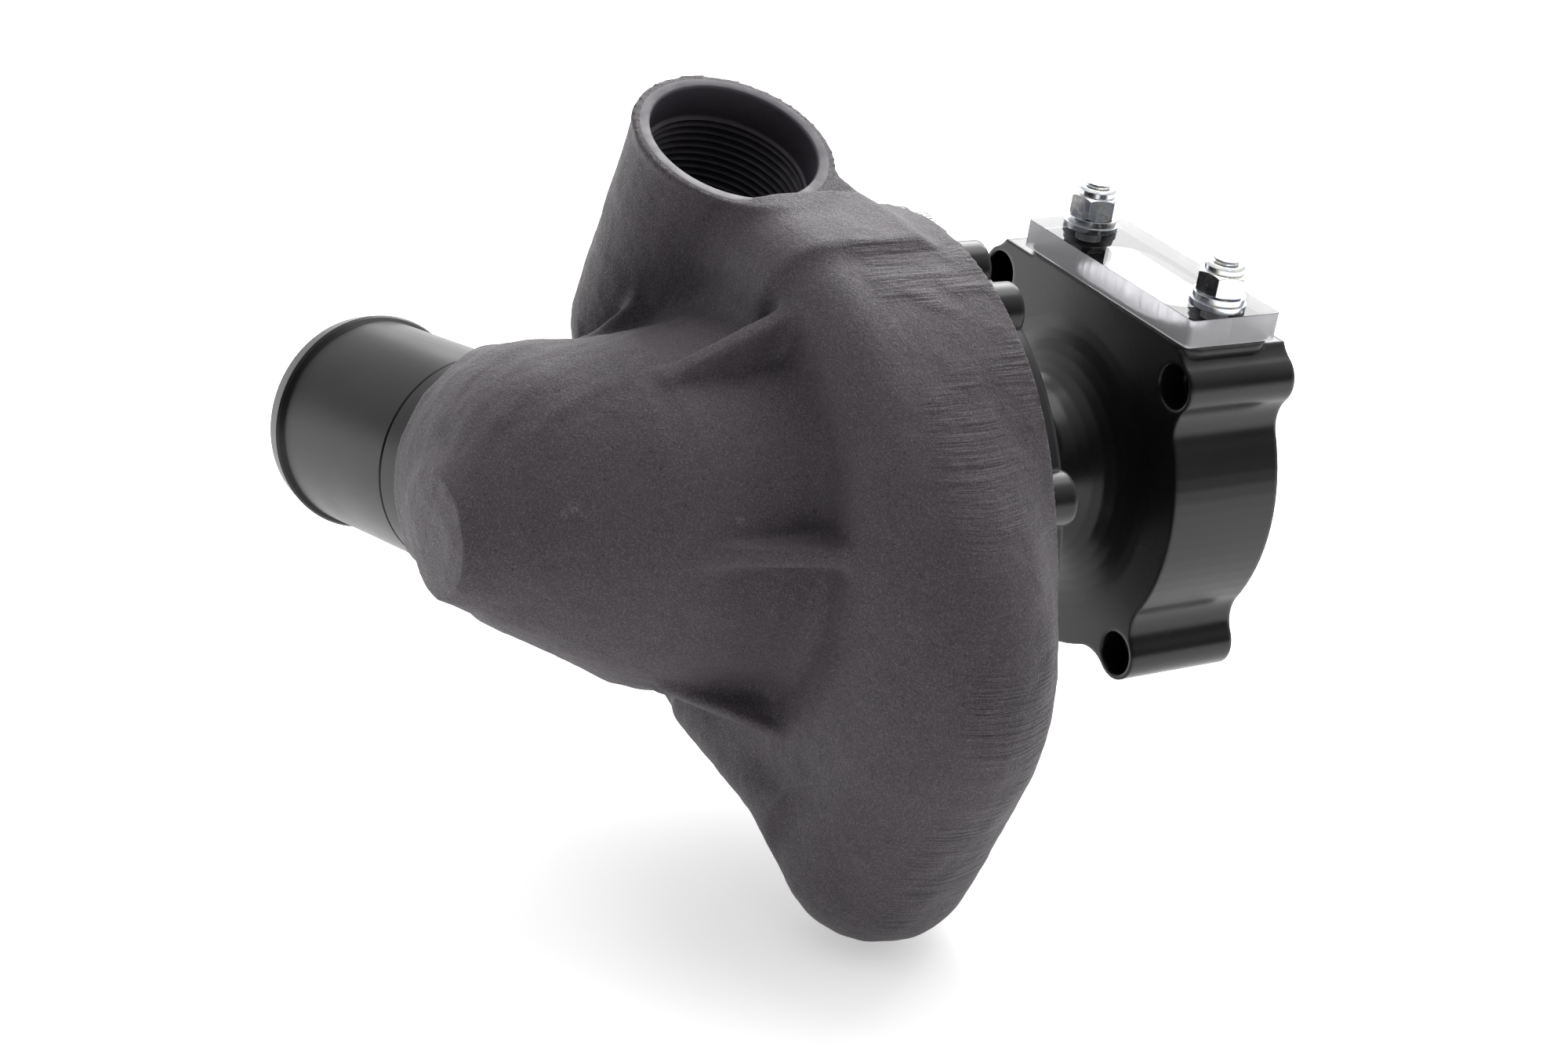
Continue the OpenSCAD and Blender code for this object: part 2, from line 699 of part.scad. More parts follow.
module input_shaft() {
    color(steel) difference() {
        translate([gear_x, 0, gear_z]) turned([
            [0, cavity_front_y - 5], [6, cavity_front_y - 5], [6, 0], [stub_r, 0],
            [stub_r, input_end_y - 1], [stub_r - 1, input_end_y], [0, input_end_y]]);
        // keyways for the drive gear and for the driving hub
        translate([gear_x - 2, gear_front_y + 1, gear_z + 3.8]) cube([4, 8.5, 4]);
        translate([gear_x - 2, 12, gear_z + keyway_floor]) cube([4, 13, 4]);
        ring(7, 5.4, gear_rear_y, input_bearing_y - 0.1, gear_x, gear_z);
    }
}

module drive_gear_key() {
    color(bright) translate([gear_x - 2, gear_front_y + 1, gear_z + 3.8]) cube([4, 8.5, 3.6]);
}

module drive_gear() {
    color(steel) difference() {
        along_y(gear_front_y, gear_rear_y) translate([gear_x, gear_z]) rotate(gear_angle + 180)
            gear_outline(gear_module, gear_teeth);
        rod(6, gear_front_y - 1, gear_rear_y + 1, gear_x, gear_z);
        translate([gear_x - 2, gear_front_y - 1, gear_z]) cube([4, 20, 7.4]);
        // lightening groove in each face
        for (y = [gear_front_y - 1, gear_rear_y - 2.5]) ring(12, 9, y, y + 3.5, gear_x, gear_z);
    }
}

module input_circlip() { circlip(7.4, 5.4, gear_rear_y + 0.02, 0.85, gear_x, gear_z); }

// ---- inspection window ----

module window_gasket() {
    color(rubber) translate([window_x, window_y + 0.4, pad_z]) difference() {
        linear_extrude(gasket_t) difference() {
            pad_outline(cover_w - 0.6, cover_d - 0.8, 5);
            stadium(39.5, 21.4);
        }
        for (s = [-1, 1]) translate([s * stud_span / 2, -0.4, -1]) cylinder(r = stud_r + 0.1, h = 3);
    }
}

module window_cover() {
    color(clear) difference() {
        translate([window_x, window_y, glass_z]) linear_extrude(cover_t) pad_outline(cover_w, cover_d, 1.2);
        stud_places() translate([0, 0, glass_z - 1]) cylinder(r = stud_r + 0.15, h = cover_t + 2);
    }
}

module window_studs() {
    top = stack_z + washer_t + spring_t + nut_h + 1.4;
    color(zinc) stud_places() {
        translate([0, 0, 40.2]) cylinder(r = stud_r, h = top - 40.2 - 0.6);
        translate([0, 0, top - 0.601]) cylinder(r1 = stud_r, r2 = stud_r - 0.6, h = 0.6);
    }
}

module flat_washers() {
    color(zinc) stud_places() translate([0, 0, stack_z]) difference() {
        cylinder(r = 6.9, h = washer_t);
        translate([0, 0, -1]) cylinder(r = stud_r + 0.1, h = 4);
    }
}

module spring_washers() {
    color(zinc) stud_places() translate([0, 0, stack_z + washer_t]) difference() {
        cylinder(r = 6.4, h = spring_t);
        translate([0, 0, -1]) cylinder(r = stud_r + 0.1, h = 4);
        rotate(200) translate([stud_r, -0.4, -1]) cube([4, 0.8, 4]);
    }
}

// A lock nut: a chamfered hexagon with a round collar for the insert
module lock_nuts() {
    color(zinc) stud_places() translate([0, 0, stack_z + washer_t + spring_t]) difference() {
        union() {
            intersection() {
                rotate(12) cylinder(r = nut_af / 2 / cos(30), h = 5.6, $fn = 6);
                rotate_extrude() polygon([[0, 0], [5.5, 0], [6.6, 0.7], [6.6, 4.9], [5.5, 5.6], [0, 5.6]]);
            }
            rotate_extrude() polygon([[0, 5.5], [4.9, 5.5], [4.9, 7], [4.2, nut_h], [0, nut_h]]);
        }
        translate([0, 0, -1]) cylinder(r = stud_r, h = nut_h + 2);
        translate([0, 0, 5.4]) cylinder(r = 4.2, h = 1.7);
    }
}

module lock_nut_inserts() {
    color("#d8d4c8") stud_places() translate([0, 0, stack_z + washer_t + spring_t + 5.4]) difference() {
        cylinder(r = 4.2, h = 1.7);
        translate([0, 0, -1]) cylinder(r = stud_r, h = 4);
    }
}

volute_housing();
inlet_tube();
inlet_tube_oring();
back_plate();
back_plate_oring();
back_plate_screws();
back_plate_dowels();
hub_screws();
shaft_seal();
drive_housing();
rear_cover();
rear_cover_oring();
rear_cover_screws();
input_seal();
front_bearing_outer();
front_bearing_inner();
front_bearing_balls();
rear_bearing_outer();
rear_bearing_inner();
rear_bearing_balls();
input_front_bearing_outer();
input_front_bearing_inner();
input_front_bearing_balls();
input_rear_bearing_outer();
input_rear_bearing_inner();
input_rear_bearing_balls();
bearing_circlip();
bearing_spacer();
seal_sleeve();
pinion_shaft();
impeller();
impeller_nut();
input_shaft();
drive_gear();
drive_gear_key();
input_circlip();
window_gasket();
window_cover();
window_studs();
flat_washers();
spring_washers();
lock_nuts();
lock_nut_inserts();
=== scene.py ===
"""Looks for a gear-driven centrifugal supercharger head unit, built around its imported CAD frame.

The rotor axis is Y, with the drive end at +Y. Shapes are worked out in millimetres in the CAD
frame, and meshes are made in metres. Materials work in metres.
"""

import json
import math

import bpy
import numpy as np
from mathutils import Matrix, Vector


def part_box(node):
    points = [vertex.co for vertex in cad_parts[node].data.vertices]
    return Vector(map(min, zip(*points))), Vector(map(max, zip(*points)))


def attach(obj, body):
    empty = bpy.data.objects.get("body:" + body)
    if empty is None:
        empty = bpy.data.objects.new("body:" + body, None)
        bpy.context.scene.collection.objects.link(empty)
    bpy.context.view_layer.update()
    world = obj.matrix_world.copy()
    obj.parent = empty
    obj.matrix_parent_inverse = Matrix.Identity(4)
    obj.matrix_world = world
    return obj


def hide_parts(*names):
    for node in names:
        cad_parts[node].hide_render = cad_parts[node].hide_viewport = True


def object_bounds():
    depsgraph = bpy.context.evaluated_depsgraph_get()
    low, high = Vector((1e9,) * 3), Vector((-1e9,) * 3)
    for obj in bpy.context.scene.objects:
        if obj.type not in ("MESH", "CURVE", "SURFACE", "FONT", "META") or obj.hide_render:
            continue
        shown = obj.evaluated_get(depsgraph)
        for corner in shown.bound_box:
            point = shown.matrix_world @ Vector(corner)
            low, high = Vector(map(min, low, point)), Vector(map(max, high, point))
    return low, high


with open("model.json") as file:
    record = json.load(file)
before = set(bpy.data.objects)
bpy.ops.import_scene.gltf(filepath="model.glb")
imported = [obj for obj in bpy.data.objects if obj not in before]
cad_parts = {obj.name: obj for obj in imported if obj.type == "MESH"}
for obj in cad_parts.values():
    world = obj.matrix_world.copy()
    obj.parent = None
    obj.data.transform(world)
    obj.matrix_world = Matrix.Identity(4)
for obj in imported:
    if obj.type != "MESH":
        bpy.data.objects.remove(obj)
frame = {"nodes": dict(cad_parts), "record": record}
cad_low, cad_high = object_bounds()

MM = 0.001


def node_box(name):
    """Lowest and highest corner of a CAD node, in millimetres."""
    low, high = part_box(name)
    return np.array(low) / MM, np.array(high) / MM


# ---------------------------------------------------------------------------
# Places that the CAD frame fixes, in millimetres
# ---------------------------------------------------------------------------

CLOCK = math.radians(19.4)  # turn of the volute about the rotor axis
VOLUTE_LOW, VOLUTE_HIGH = node_box("volute_housing")
FLANGE_Y = node_box("back_plate_dowels")[1][1] - 4.5
DRUM_R = 67.5
CREST_Y = FLANGE_Y - 47
SWELL, SWELL_SPAN = 2.6, 60
BEHIND_Y = FLANGE_Y + 20  # well behind the flange, where the field is cut off later
ELBOW_FLAT_Y = VOLUTE_LOW[1]

OUTLET_X, OUTLET_Y, OUTLET_TOP = -58.1, FLANGE_Y - 36.3, 61.1
OUTLET_R = 24.5
OUTLET_BOTTOM = 3
FACE_EDGE_X = -36.6
FAIRING_TURN = math.radians(102.3)
FAIRING_REAR_Y = FLANGE_Y - 12.7
FAIRING_LOW_Z = 30
OUTLET_FAIRING_REACH, LOBE_FAIRING_REACH, LOBE_FAIRING_RISE = 42, 60, 1.0
COUNTERBORE_R, COUNTERBORE_DEPTH = 20.6, 9
THREAD_MINOR_R, THREAD_DEPTH, THREAD_PITCH, THREAD_LENGTH = 19.6, 1.15, 25.4 / 12, 20
OUTLET_BORE_R = 18.45
OUTLET_CORE_R, OUTLET_CORE_DEPTH = 21.3, 34  # cleared for the mouth, which is a piece of its own

LOBE_X, LOBE_Y, LOBE_Z, LOBE_R = 69.4, FLANGE_Y - 21.5, -48.8, 24.6
LOBE_START, LOBE_BEND_R, LOBE_BEND_ANGLE = -8, 42, 1.4
LOBE_NARROWING = 3  # per radian of the bend

BRANCH_TILT = math.radians(7.5)
BRANCH_CLOCK = math.radians(19.4 - 121)
BRANCH_CORNER = np.array([0, FLANGE_Y - 88, 4.5])
BRANCH_AXIS = np.array([
    math.sin(BRANCH_CLOCK) * math.cos(BRANCH_TILT),
    -math.sin(BRANCH_TILT),
    math.cos(BRANCH_CLOCK) * math.cos(BRANCH_TILT),
])
# two directions square to the branch axis: towards the front of its lip, and towards its top
BRANCH_FRONT = np.array([0.041, -0.916, 0.399])
BRANCH_TOP = np.array([-0.236, 0.410, 0.880])
BRANCH_BORE_R = 24.3
# its top rises and its front sets back, each growing over a stretch of the axis
BRANCH_RISE, BRANCH_RISE_END, BRANCH_RISE_SPAN = 2.4, 52, 32
BRANCH_SET_BACK, BRANCH_SET_BACK_SPAN = 3.0, 30
# the lip's distance from the corner at the front, how much further it reaches at the back,
# and where in degrees round from the front it changes
LIP_FRONT, LIP_CUT_BACK = 33.7, 18
LIP_TURN_START, LIP_TURN_SPAN = 38, 70

# the tall screw's place across and up, in metres
TALL_SCREW = (0.060 * math.cos(math.radians(111)), 0.060 * math.sin(math.radians(111)))
GUSSET_ANGLES = [135, 74, 13, -48, -108]
GUSSET_T = 4.6
GUSSET_EDGE = 1.4

# fillets where one shape runs into the next
TRUNK_FILLET, LOBE_FAIRING_FILLET, LOBE_FILLET = 10, 4, 8
OUTLET_FAIRING_FILLET, OUTLET_FILLET, BRANCH_FILLET, GUSSET_FILLET = 6, 9, 6, 3


# ---------------------------------------------------------------------------
# The casting as a distance field
# ---------------------------------------------------------------------------


def smooth_min(a, b, k):
    """Union of two fields with a fillet of about k."""
    h = np.maximum(k - np.abs(a - b), 0) / k
    return np.minimum(a, b) - h * h * k / 4


def smooth_max(a, b, k):
    """Intersection of two fields, with an edge rounded by about k."""
    return -smooth_min(-a, -b, k)


def arc(cx, cy, r, start, end):
    """Points on an arc, angles in degrees."""
    steps = 8
    return [
        (cx + r * math.cos(math.radians(t)), cy + r * math.sin(math.radians(t)))
        for t in np.linspace(start, end, steps + 1)
    ]


def outline_distance(points, p, q):
    """Signed distance from the points (p, q) to a closed outline."""
    nearest = np.full(p.shape, 1e9)
    inside = np.zeros(p.shape, bool)
    for (ax, ay), (bx, by) in zip(points, points[1:] + points[:1]):
        ex, ey = bx - ax, by - ay
        length2 = ex * ex + ey * ey
        if length2 == 0:
            continue
        t = np.clip(((p - ax) * ex + (q - ay) * ey) / length2, 0, 1)
        nearest = np.minimum(nearest, np.hypot(p - ax - t * ex, q - ay - t * ey))
        if ey != 0:
            crosses = (ay > q) != (by > q)
            inside ^= crosses & (p < ax + (q - ay) * ex / ey)
    return np.where(inside, -nearest, nearest)


def turned(points, radius, along):
    """Field of an outline turned about an axis, looked up in a fine table of radius and height."""
    step, margin = 0.5, 12
    low = min(q for _, q in points) - margin
    high = max(q for _, q in points) + margin
    widest = max(p for p, _ in points) + margin
    table_r = np.arange(0, widest, step)
    table_y = np.arange(low, high, step)
    table = outline_distance(points, *np.meshgrid(table_r, table_y, indexing="ij"))
    i = np.clip(radius / step, 0, len(table_r) - 1.001)
    j = np.clip((along - low) / step, 0, len(table_y) - 1.001)
    i0, j0 = i.astype(int), j.astype(int)
    fi, fj = i - i0, j - j0
    return (
        table[i0, j0] * (1 - fi) * (1 - fj)
        + table[i0 + 1, j0] * fi * (1 - fj)
        + table[i0, j0 + 1] * (1 - fi) * fj
        + table[i0 + 1, j0 + 1] * fi * fj
    )


def in_clocked(x, z):
    """The volute's own x and z, in which the outlet points up."""
    c, s = math.cos(CLOCK), math.sin(CLOCK)
    return x * c - z * s, x * s + z * c


def swell(cz):
    """How far the drum's front stands forward: it grows towards the blind lobe."""
    return SWELL * np.clip(-cz / SWELL_SPAN, 0, 1)


def drum_field(radius, y):
    """The drum: a round shoulder, and a low crest round the trunk's foot."""
    shoulder = 12
    outline = [(0, BEHIND_Y), (DRUM_R, BEHIND_Y)]
    outline += arc(DRUM_R - shoulder, CREST_Y + shoulder, shoulder, 0, -90)
    outline += [(52, CREST_Y + 0.6), (48, CREST_Y + 2.6)]
    outline += [(44, CREST_Y + 3.4), (0, CREST_Y + 3.4)]
    return turned(outline, radius, y)


def trunk_field(radius, y):
    """The trunk, which narrows from the drum to the flat at the elbow."""
    outline = [(0, CREST_Y + 20), (49, CREST_Y + 20), (46.5, CREST_Y + 2), (43.2, CREST_Y - 12)]
    outline += [(41.4, CREST_Y - 26), (39, CREST_Y - 33), (33.2, CREST_Y - 42)]
    outline += [(28, CREST_Y - 51), (24, CREST_Y - 58), (21.4, CREST_Y - 62.4)]
    outline += [(18.6, CREST_Y - 65.6)]
    outline += [(14.5, ELBOW_FLAT_Y + 0.9), (8, ELBOW_FLAT_Y), (0, ELBOW_FLAT_Y)]
    return turned(outline, radius, y)


def branch_coordinates(x, y, z):
    """Distance from the branch's bent axis, distance along it, and how far along the lip is."""
    offset = [p - c for p, c in zip((x, y, z), BRANCH_CORNER)]
    along = sum(d * a for d, a in zip(offset, BRANCH_AXIS))
    front = sum(d * a for d, a in zip(offset, BRANCH_FRONT))
    off = np.sqrt(np.maximum(sum(d * d for d in offset) - along * along, 1e-6))
    turn = np.degrees(np.arccos(np.clip(front / off, -1, 1)))
    t = np.clip((turn - LIP_TURN_START) / LIP_TURN_SPAN, 0, 1)
    lip = LIP_FRONT + LIP_CUT_BACK * t * t * (3 - 2 * t)
    up = BRANCH_RISE * np.clip((BRANCH_RISE_END - along) / BRANCH_RISE_SPAN, 0, 1)
    back = -BRANCH_SET_BACK * np.clip(along / BRANCH_SET_BACK_SPAN, 0, 1)
    moved = [d - up * u - back * f for d, u, f in zip(offset, BRANCH_TOP, BRANCH_FRONT)]
    radius = np.sqrt(np.maximum(sum(d * d for d in moved) - along * along, 0))
    return radius, along, lip


def branch_field(x, y, z):
    """The elbow's branch, which holds the hose tube and ends at its cut-back lip."""
    radius, along, lip = branch_coordinates(x, y, z)
    outline = [(0, -18), (18, -16), (26, -11), (30.5, -3), (32.4, 6), (32.8, 16), (32, 25)]
    outline += [(30, 35), (28.1, 45), (26.9, 52), (26.6, 60), (0, 60)]
    return smooth_max(turned(outline, radius, along), along - lip, 1.0)


def outlet_field(cx, y, cz):
    """The open outlet: a straight tube with a rounded foot, and a slightly wider machined top."""
    drop = np.minimum(cz - OUTLET_BOTTOM, 0)
    wider = 0.5 * np.clip((cz - OUTLET_TOP + 3) / 1.5, 0, 1)
    tube = np.sqrt((cx - OUTLET_X) ** 2 + (y - OUTLET_Y) ** 2 + drop ** 2) - OUTLET_R - wider
    return np.maximum(tube, cz - OUTLET_TOP)


def fairing_field(cx, y, cz, reach, rear_y, rise=0.0):
    """The wedge that leaves the drum as its tangent, and falls towards the outlet or the lobe."""
    height = cx * math.cos(FAIRING_TURN) + cz * math.sin(FAIRING_TURN) - rise
    sides = smooth_max(-reach - cx, FAIRING_LOW_Z - cz, 2)
    sides = smooth_max(sides, cx - DRUM_R * math.cos(FAIRING_TURN), 1)
    return smooth_max(smooth_max(drum_field(height, y), y - rear_y, 3), sides, 2)


def lobe_field(cx, y, cz):
    """The blind lobe: a tube that bends out of the drum, runs down and ends in a dome."""
    dy2 = (y - LOBE_Y) ** 2
    dz = cz - np.clip(cz, LOBE_Z, LOBE_START)
    run = np.sqrt((cx - LOBE_X) ** 2 + dz ** 2 + dy2) - LOBE_R
    bend_x = LOBE_X - LOBE_BEND_R
    angle = np.clip(np.arctan2(cz - LOBE_START, cx - bend_x), 0, LOBE_BEND_ANGLE)
    ax = bend_x + LOBE_BEND_R * np.cos(angle)
    az = LOBE_START + LOBE_BEND_R * np.sin(angle)
    bend = np.sqrt((cx - ax) ** 2 + (cz - az) ** 2 + dy2) - LOBE_R + LOBE_NARROWING * angle
    return np.minimum(run, bend)


def gusset_field(x, y, z, degrees):
    """A triangular rib between the drum's front and the trunk."""
    a = math.radians(degrees)
    out = x * math.cos(a) + z * math.sin(a)
    across = np.abs(z * math.cos(a) - x * math.sin(a)) - GUSSET_T / 2
    outline = [(34, CREST_Y - 30), (42, CREST_Y - 28), (57, CREST_Y - 1.5)]
    outline += [(57, CREST_Y + 6), (34, CREST_Y + 6)]
    return smooth_max(turned(outline, np.maximum(out, 0), y), across, GUSSET_EDGE)


def casting_field(x, y, z):
    """Signed distance to the volute casting, at points in millimetres that broadcast together."""
    cx, cz = in_clocked(x, z)
    radius = np.hypot(x, z)
    forward_y = y + swell(cz)
    body = smooth_min(drum_field(radius, forward_y), trunk_field(radius, y), TRUNK_FILLET)
    lobe_fairing = fairing_field(
        -cx, forward_y, -cz, LOBE_FAIRING_REACH, BEHIND_Y, LOBE_FAIRING_RISE
    )
    body = smooth_min(body, lobe_fairing, LOBE_FAIRING_FILLET)
    body = smooth_min(body, lobe_field(cx, y, cz), LOBE_FILLET)
    outlet_fairing = fairing_field(cx, y, cz, OUTLET_FAIRING_REACH, FAIRING_REAR_Y)
    outlet = smooth_min(outlet_field(cx, y, cz), outlet_fairing, OUTLET_FAIRING_FILLET)
    body = smooth_min(body, outlet, OUTLET_FILLET)
    body = smooth_min(body, branch_field(x, y, z), BRANCH_FILLET)
    for degrees in GUSSET_ANGLES:
        body = smooth_min(body, gusset_field(x, y, z, degrees), GUSSET_FILLET)
    # machined flats: the outlet face and the rear flange
    body = np.maximum(body, np.minimum(cz - OUTLET_TOP, FACE_EDGE_X - cx))
    body = np.maximum(body, y - FLANGE_Y)
    # what is bored or cored out
    rim_y = FLANGE_Y - 21
    chamber = [(0, BEHIND_Y), (54.3, BEHIND_Y), (54.3, FLANGE_Y - 14), (60.5, FLANGE_Y - 14)]
    chamber += [(60.5, rim_y), (47, rim_y), (41, rim_y - 3), (35, rim_y - 10)]
    chamber += [(30.5, rim_y - 20), (29.3, rim_y - 30), (24.4, rim_y - 44)]
    chamber += [(24.4, FLANGE_Y - 88), (0, FLANGE_Y - 88)]
    body = np.maximum(body, -turned(chamber, radius, y))
    bore = np.hypot(cx - OUTLET_X, y - OUTLET_Y)
    body = np.maximum(
        body, -np.maximum(bore - OUTLET_CORE_R, OUTLET_TOP - OUTLET_CORE_DEPTH - cz)
    )
    body = np.maximum(body, -np.maximum(bore - OUTLET_BORE_R, OUTLET_BOTTOM - cz))
    from_corner = np.sqrt(sum((p - c) ** 2 for p, c in zip((x, y, z), BRANCH_CORNER)))
    body = np.maximum(body, BRANCH_BORE_R - from_corner)
    along = sum((p - c) * a for p, c, a in zip((x, y, z), BRANCH_CORNER, BRANCH_AXIS))
    off = np.sqrt(np.maximum(from_corner ** 2 - along ** 2, 0))
    body = np.maximum(body, -np.maximum(off - BRANCH_BORE_R, -along))
    return body


# ---------------------------------------------------------------------------
# Meshing a field
# ---------------------------------------------------------------------------

GRID_STEP, GRID_STEP_QUICK = 0.85, 1.3
# the casting's unevenness: height, shortest and longest wave, and seed
UNEVENNESS = [(0.14, 6, 16, 3), (0.07, 3, 6, 4)]
WAVE_COUNT = 40

CUBE_CORNERS = np.array([(i, j, k) for i in (0, 1) for j in (0, 1) for k in (0, 1)])
CUBE_EDGES = [
    (a, b)
    for a in range(8)
    for b in range(a + 1, 8)
    if np.abs(CUBE_CORNERS[a] - CUBE_CORNERS[b]).sum() == 1
]


def sample(field, low, step, points):
    """Trilinear value and gradient of a sampled field at points."""
    g = np.clip((points - low) / step, 0, np.array(field.shape) - 1.001)
    base = g.astype(int)
    t = g - base
    value = np.zeros(len(points))
    gradient = np.zeros((len(points), 3))
    for corner in CUBE_CORNERS:
        at = base + corner
        v = field[at[:, 0], at[:, 1], at[:, 2]]
        w = np.where(corner, t, 1 - t)
        value += v * w.prod(1)
        for axis in range(3):
            others = [a for a in range(3) if a != axis]
            gradient[:, axis] += v * (1 if corner[axis] else -1) * w[:, others].prod(1) / step
    return value, gradient


def surface_net(field, low, step):
    """Vertices and quads of a field's zero surface, with one vertex in each cell it crosses."""
    inside = field < 0
    ni, nj, nk = (n - 1 for n in field.shape)
    count = sum(
        inside[i : ni + i, j : nj + j, k : nk + k].astype(np.int8) for i, j, k in CUBE_CORNERS
    )
    cells = np.argwhere((count > 0) & (count < 8))
    index = np.full(count.shape, -1, np.int64)
    index[tuple(cells.T)] = np.arange(len(cells))
    total, hits = np.zeros((len(cells), 3)), np.zeros(len(cells))
    for a, b in CUBE_EDGES:
        ca, cb = cells + CUBE_CORNERS[a], cells + CUBE_CORNERS[b]
        va, vb = field[tuple(ca.T)], field[tuple(cb.T)]
        crossed = (va < 0) != (vb < 0)
        t = np.where(crossed, va / np.where(crossed, va - vb, 1), 0)[:, None]
        total += np.where(crossed[:, None], ca + (cb - ca) * t, 0)
        hits += crossed
    vertices = low + step * total / hits[:, None]
    quads = []
    for axis in range(3):
        u, v = [a for a in range(3) if a != axis]
        first = [slice(None)] * 3
        second = [slice(None)] * 3
        first[axis], second[axis] = slice(0, -1), slice(1, None)
        edge = np.argwhere(inside[tuple(first)] != inside[tuple(second)])
        edge = edge[(edge[:, u] > 0) & (edge[:, v] > 0)]
        edge = edge[(edge[:, u] < count.shape[u]) & (edge[:, v] < count.shape[v])]
        ring = []
        for du, dv in ((0, 0), (1, 0), (1, 1), (0, 1)):
            cell = edge.copy()
            cell[:, u] -= du
            cell[:, v] -= dv
            ring.append(index[tuple(cell.T)])
        ring = np.stack(ring, 1)
        flip = inside[tuple(edge.T)] ^ (axis == 1)
        ring[flip] = ring[flip][:, ::-1]
        quads.append(ring)
    return vertices, np.concatenate(quads)


def mesh_object(name, vertices, faces, smooth=True):
    """A mesh object from vertices in millimetres."""
    mesh = bpy.data.meshes.new(name)
    metres = (np.asarray(vertices, float) * MM).tolist()
    mesh.from_pydata(metres, [], [list(map(int, f)) for f in faces])
    mesh.validate()
    if smooth:
        mesh.shade_smooth()
    obj = bpy.data.objects.new(name, mesh)
    bpy.context.scene.collection.objects.link(obj)
    return obj


def waves(points, count, shortest, longest, seed):
    """A smooth random height at each point, from about -1 to 1: a sum of plane waves."""
    rng = np.random.default_rng(seed)
    total = np.zeros(len(points))
    for _ in range(count):
        direction = rng.normal(size=3)
        direction /= np.linalg.norm(direction)
        length = rng.uniform(shortest, longest)
        total += np.sin(points @ direction * 2 * math.pi / length + rng.uniform(0, 2 * math.pi))
    return total / math.sqrt(count / 2) / 2


def build_casting():
    """The volute casting, meshed from its field, with the unevenness of a sand casting."""
    step = GRID_STEP
    margin = 3 * step
    low = VOLUTE_LOW - margin
    high = VOLUTE_HIGH + margin
    x, y, z = (np.arange(low[a], high[a], step) for a in range(3))
    field = casting_field(x[:, None, None], y[None, :, None], z[None, None, :])
    vertices, quads = surface_net(field, low, step)
    for _ in range(3):
        value, gradient = sample(field, low, step, vertices)
        length2 = np.maximum((gradient ** 2).sum(1), 0.25)
        vertices = vertices - gradient * (value / length2)[:, None]
    gradient = sample(field, low, step, vertices)[1]
    normal = gradient / np.maximum(np.linalg.norm(gradient, axis=1), 1e-6)[:, None]
    cz = in_clocked(vertices[:, 0], vertices[:, 2])[1]
    # the machined flats stay flat
    rough = (cz < OUTLET_TOP - 0.4) & (vertices[:, 1] < FLANGE_Y - 0.4)
    height = sum(
        size * waves(vertices, WAVE_COUNT, shortest, longest, seed)
        for size, shortest, longest, seed in UNEVENNESS
    )
    vertices = vertices + normal * (height * rough)[:, None]
    return mesh_object("volute_casting", vertices, quads)


def build_outlet_mouth():
    """The machined mouth of the outlet: face, counterbore, step and a helical thread."""
    columns = 160
    rows_per_turn = 12
    top = OUTLET_TOP
    step_z = top - COUNTERBORE_DEPTH
    profile = [(23.3, top + 0.03), (21.2, top + 0.03), (COUNTERBORE_R + 0.15, top - 0.25)]
    profile += [(COUNTERBORE_R, top - 0.8), (COUNTERBORE_R, step_z + 0.6), (COUNTERBORE_R, step_z)]
    profile += [(THREAD_MINOR_R + 0.9, step_z), (THREAD_MINOR_R + 0.3, step_z - 0.5)]
    rows = [(r, z, 0.0) for r, z in profile]
    turns = THREAD_LENGTH / THREAD_PITCH
    for i in range(int(turns * rows_per_turn) + 1):
        down = i * THREAD_PITCH / rows_per_turn
        fade = min(1.0, down / THREAD_PITCH + 0.3)
        rows.append((THREAD_MINOR_R, step_z - 0.6 - down, fade))
    thread_end = step_z - THREAD_LENGTH
    rows += [(OUTLET_BORE_R, thread_end - 1, 0.0), (OUTLET_BORE_R, thread_end - 8, 0.0)]
    c, s = math.cos(CLOCK), math.sin(CLOCK)
    vertices = []
    for r, z, cut in rows:
        for k in range(columns):
            turn = k / columns
            phase = (z / THREAD_PITCH + turn) % 1
            groove = min(1.0, max(0.0, 1.25 * (1 - abs(2 * phase - 1)) - 0.05))
            radius = r + cut * THREAD_DEPTH * groove
            px = OUTLET_X + radius * math.cos(2 * math.pi * turn)
            py = OUTLET_Y + radius * math.sin(2 * math.pi * turn)
            vertices.append((px * c + z * s, py, -px * s + z * c))
    faces = []
    for i in range(len(rows) - 1):
        above, below = i * columns, (i + 1) * columns
        for k in range(columns):
            after = (k + 1) % columns
            faces.append((above + k, above + after, below + after, below + k))
    return mesh_object("outlet_mouth", vertices, faces)


# ---------------------------------------------------------------------------
# Materials
# ---------------------------------------------------------------------------


